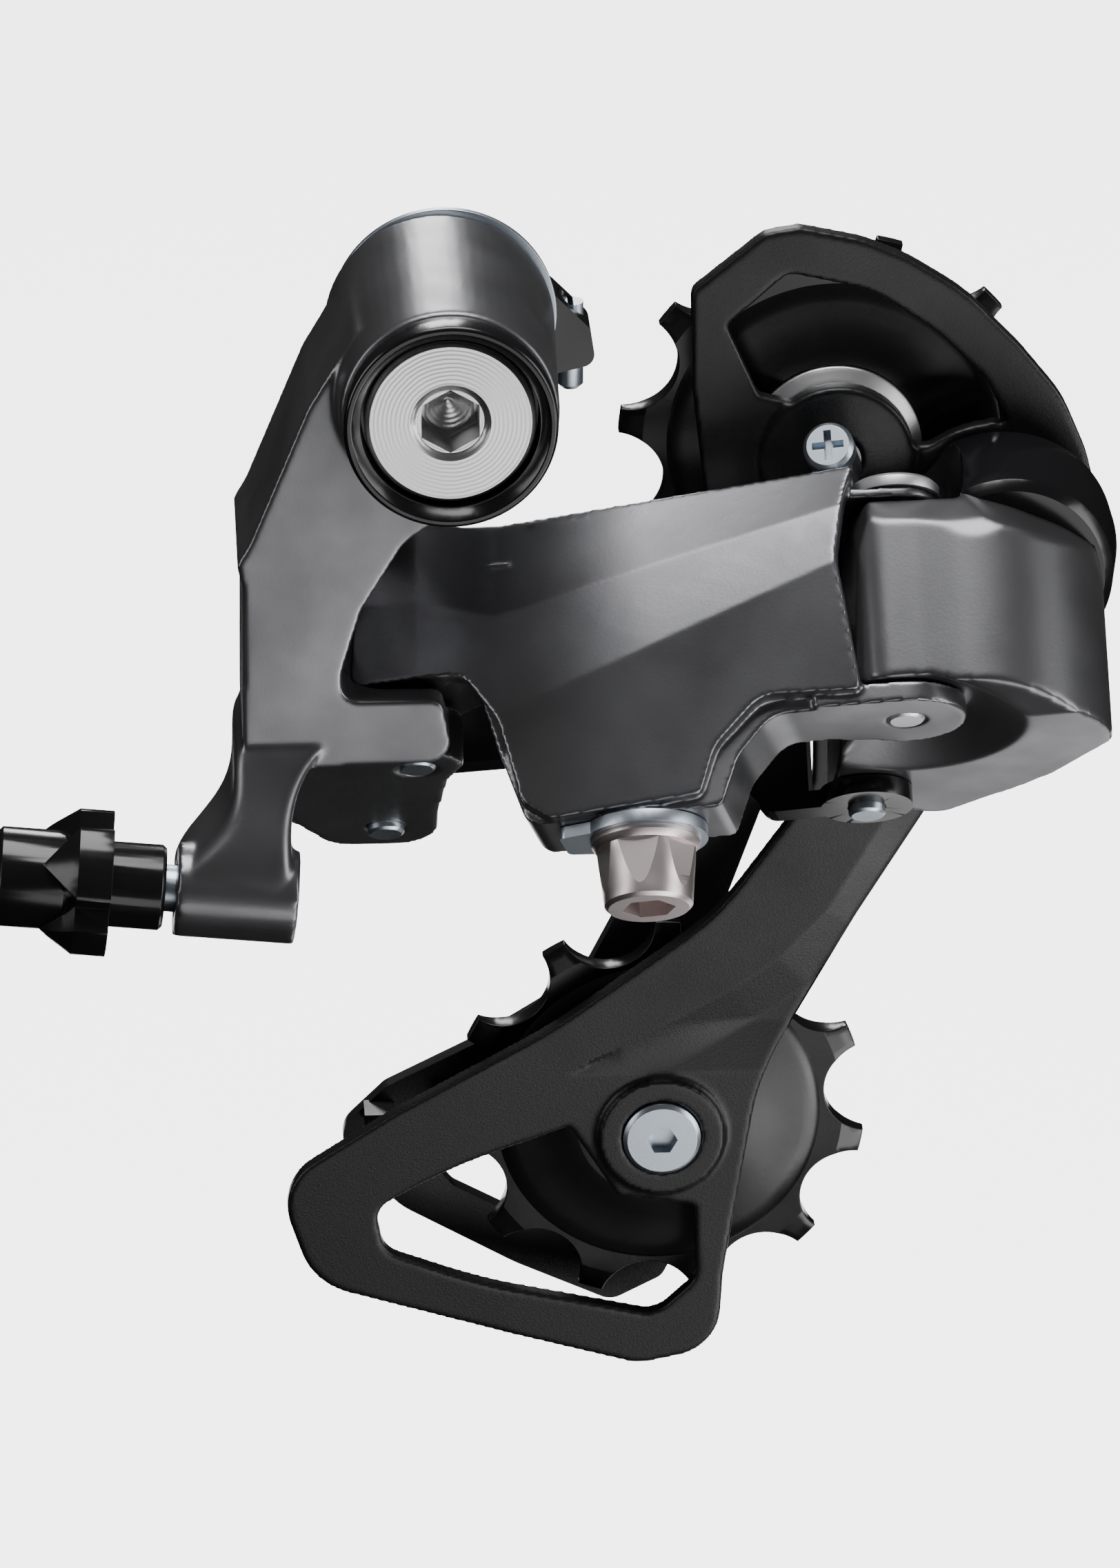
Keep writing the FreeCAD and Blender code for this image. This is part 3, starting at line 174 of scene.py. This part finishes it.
def turned_metal(name, colour, roughness):
    """Bright metal with the fine rings that turning leaves round the Y axis."""
    material, nodes, links = new_material(name)
    shader = nodes["Principled BSDF"]
    shader.inputs["Metallic"].default_value = 1.0
    shader.inputs["Base Color"].default_value = (*colour, 1.0)
    shader.inputs["Roughness"].default_value = roughness
    shader.inputs["Anisotropic"].default_value = 0.6
    place = nodes.new("ShaderNodeTexCoord")
    rings = nodes.new("ShaderNodeTexWave")
    rings.wave_type = "RINGS"
    rings.rings_direction = "Y"
    rings.inputs["Scale"].default_value = TURNED_RINGS_SCALE
    rings.inputs["Distortion"].default_value = 1.5
    links.new(place.outputs["Object"], rings.inputs["Vector"])
    relief = nodes.new("ShaderNodeBump")
    relief.inputs["Strength"].default_value = 0.12
    relief.inputs["Distance"].default_value = RELIEF_DEPTH
    links.new(rings.outputs["Fac"], relief.inputs["Height"])
    links.new(relief.outputs["Normal"], shader.inputs["Normal"])
    return material


def make_materials():
    """One material for each of the record's slots."""
    return {
        "cast_grey": surface("cast_grey", (0.22, 0.22, 0.23), 0.35, 0.9, 3000.0, 0.08),
        "plate_black": surface("plate_black", (0.008, 0.008, 0.009), 0.40, 0.0, 4000.0, 0.2),
        "gloss_black": surface("gloss_black", (0.008, 0.008, 0.009), 0.2, 0.0, 1200.0, 0.03),
        "pulley_black": surface("pulley_black", (0.008, 0.008, 0.009), 0.26, 0.0, 1500.0, 0.05),
        "zinc": surface("zinc", (0.60, 0.67, 0.74), 0.38, 1.0, 3000.0, 0.08),
        "bright_bolt": turned_metal("bright_bolt", (0.70, 0.70, 0.70), 0.3),
        "bright_steel": surface("bright_steel", (0.90, 0.90, 0.91), 0.42, 1.0, 2500.0, 0.04),
        "spring_steel": surface("spring_steel", (0.45, 0.45, 0.46), 0.28, 1.0, 2500.0, 0.05),
        "bronze_bush": surface("bronze_bush", (0.5, 0.33, 0.15), 0.35, 1.0, 2500.0, 0.05),
        "cable_bolt_steel": surface("cable_bolt_steel", (0.86, 0.77, 0.75), 0.38, 1.0, 2500.0, 0.05),
        "seal_rubber": surface("seal_rubber", (0.012, 0.012, 0.012), 0.6, 0.0, 2500.0, 0.2),
    }


# ---------------------------------------------------------------- pieces

def slot_of(node):
    for part in frame["record"]["subparts"]:
        if part["node"] == node:
            return part["material_slot"]
    raise KeyError(node)


def paint(piece, material):
    piece.data.materials.clear()
    piece.data.materials.append(material)


def copied_mesh(node):
    """The CAD node's mesh in a new object, with its split vertices joined."""
    mesh = NODES[node].data.copy()
    work = bmesh.new()
    work.from_mesh(mesh)
    bmesh.ops.remove_doubles(work, verts=work.verts, dist=WELD_DISTANCE)
    work.to_mesh(mesh)
    work.free()
    mesh.name = node + "_cast"
    piece = bpy.data.objects.new(node + "_cast", mesh)
    bpy.context.collection.objects.link(piece)
    return piece


def applied(piece):
    """Make the piece's modifiers part of its mesh."""
    bpy.context.view_layer.update()
    graph = bpy.context.evaluated_depsgraph_get()
    mesh = bpy.data.meshes.new_from_object(piece.evaluated_get(graph))
    piece.modifiers.clear()
    piece.data = mesh
    return piece


def cast_piece(node, body, voxel_mm, passes):
    """Rebuild a casting with soft, rounded edges in place of the CAD's sharp ones."""
    piece = copied_mesh(node)
    remesh = piece.modifiers.new("remesh", "REMESH")
    remesh.mode = "VOXEL"
    remesh.voxel_size = voxel_mm * MM
    smooth = piece.modifiers.new("smooth", "SMOOTH")
    smooth.factor = 0.5
    smooth.iterations = passes
    applied(piece)
    if node == "outer_cage_plate":
        slope_plate_face(piece)
    piece.data.shade_smooth()
    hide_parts(node)
    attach(piece, body)
    return piece


def ahead_of_line(x, z):
    """How far (x, z) lies in front of the facet line, in mm, and zero behind it."""
    nearest = None
    for (ax, az), (bx, bz) in zip(FACET_LINE, FACET_LINE[1:]):
        along = ((x - ax) * (bx - ax) + (z - az) * (bz - az)) / ((bx - ax) ** 2 + (bz - az) ** 2)
        along = min(max(along, 0.0), 1.0)
        px = ax + along * (bx - ax)
        pz = az + along * (bz - az)
        distance = math.hypot(x - px, z - pz)
        side = (bx - ax) * (z - az) - (bz - az) * (x - ax)
        if nearest is None or distance < nearest[0]:
            nearest = (distance, side)
    return nearest[0] if nearest[1] > 0 else 0.0


def slope_plate_face(piece):
    """Slope the outer plate's front face back in front of its facet line."""
    for vertex in piece.data.vertices:
        x, y, z = vertex.co / MM
        if y < PLATE_FACE_Y + PLATE_SKIN and FACET_BOTTOM_Z < z < FACET_TOP_Z:
            fade = min((z - FACET_BOTTOM_Z) / FACET_FADE_BELOW, (FACET_TOP_Z - z) / FACET_FADE_ABOVE, 1.0)
            back = min(ahead_of_line(x, z) * FACET_SLOPE, FACET_DEPTH) * fade
            share = min(max((PLATE_FACE_Y + PLATE_SKIN - y) / PLATE_BLEND, 0.0), 1.0)
            vertex.co.y += back * share * MM


def soften_node(piece, width_mm):
    """Bevelled edges on a CAD node, which keeps its own mesh."""
    weld = piece.modifiers.new("weld", "WELD")
    weld.merge_threshold = WELD_DISTANCE
    bevel = piece.modifiers.new("bevel", "BEVEL")
    bevel.width = width_mm * MM
    bevel.segments = 3
    bevel.limit_method = "ANGLE"
    bevel.angle_limit = math.radians(EDGE_ANGLE_DEG)
    bevel.harden_normals = True


# ---------------------------------------------------------------- studio

def add_floor():
    """White floor that the derailleur neither reflects nor is lit by."""
    bpy.ops.mesh.primitive_plane_add(size=FLOOR_SIZE, location=(0.0, 0.6, cad_bounds[0][2] - FLOOR_DROP))
    floor = bpy.context.object
    floor.name = "floor"
    material, nodes, _ = new_material("floor")
    shader = nodes["Principled BSDF"]
    shader.inputs["Base Color"].default_value = (0.8, 0.8, 0.8, 1.0)
    shader.inputs["Roughness"].default_value = 0.9
    shader.inputs["Emission Color"].default_value = (1.0, 1.0, 1.0, 1.0)
    shader.inputs["Emission Strength"].default_value = FLOOR_GLOW
    floor.visible_glossy = False
    floor.visible_diffuse = False
    paint(floor, material)


def add_light(name, place, size, radiance):
    """Softbox facing the middle of the derailleur."""
    data = bpy.data.lights.new(name, "AREA")
    data.shape = "RECTANGLE"
    data.size = size[0]
    data.size_y = size[1]
    data.energy = radiance * math.pi * size[0] * size[1]
    light = bpy.data.objects.new(name, data)
    light.location = place
    light.rotation_euler = (MIDDLE - Vector(place)).to_track_quat("-Z", "Y").to_euler()
    bpy.context.collection.objects.link(light)


def add_world():
    """Dim surroundings, darker below than above."""
    world = bpy.data.worlds.new("studio")
    bpy.context.scene.world = world
    world.use_nodes = True
    nodes = world.node_tree.nodes
    links = world.node_tree.links
    place = nodes.new("ShaderNodeTexCoord")
    split = nodes.new("ShaderNodeSeparateXYZ")
    links.new(place.outputs["Generated"], split.inputs["Vector"])
    rise = nodes.new("ShaderNodeMapRange")
    rise.inputs["From Min"].default_value = WORLD_LOW
    rise.inputs["From Max"].default_value = WORLD_HIGH
    rise.inputs["To Min"].default_value = WORLD_DARK
    rise.inputs["To Max"].default_value = WORLD_BRIGHT
    links.new(split.outputs["Z"], rise.inputs["Value"])
    links.new(rise.outputs["Result"], nodes["Background"].inputs["Strength"])


def add_lights():
    for name, place, size, radiance in SOFTBOXES:
        add_light(name, place, size, radiance)
    add_world()


def add_camera():
    data = bpy.data.cameras.new("camera")
    data.lens = CAMERA_LENS
    data.sensor_width = 36.0
    camera = bpy.data.objects.new("camera", data)
    camera.location = CAMERA_PLACE
    camera.rotation_euler = (CAMERA_TARGET - CAMERA_PLACE).to_track_quat("-Z", "Y").to_euler()
    bpy.context.collection.objects.link(camera)
    bpy.context.scene.camera = camera


# ---------------------------------------------------------------- build


def main():
    materials = make_materials()
    for node, (body, voxel_mm, passes) in CASTINGS.items():
        paint(cast_piece(node, body, voxel_mm, passes), materials[slot_of(node)])
    for node, piece in NODES.items():
        if node not in CASTINGS:
            soften_node(piece, EDGE_BEVEL_MM)
            paint(piece, materials[slot_of(node)])
    add_floor()
    add_lights()
    add_camera()


main()
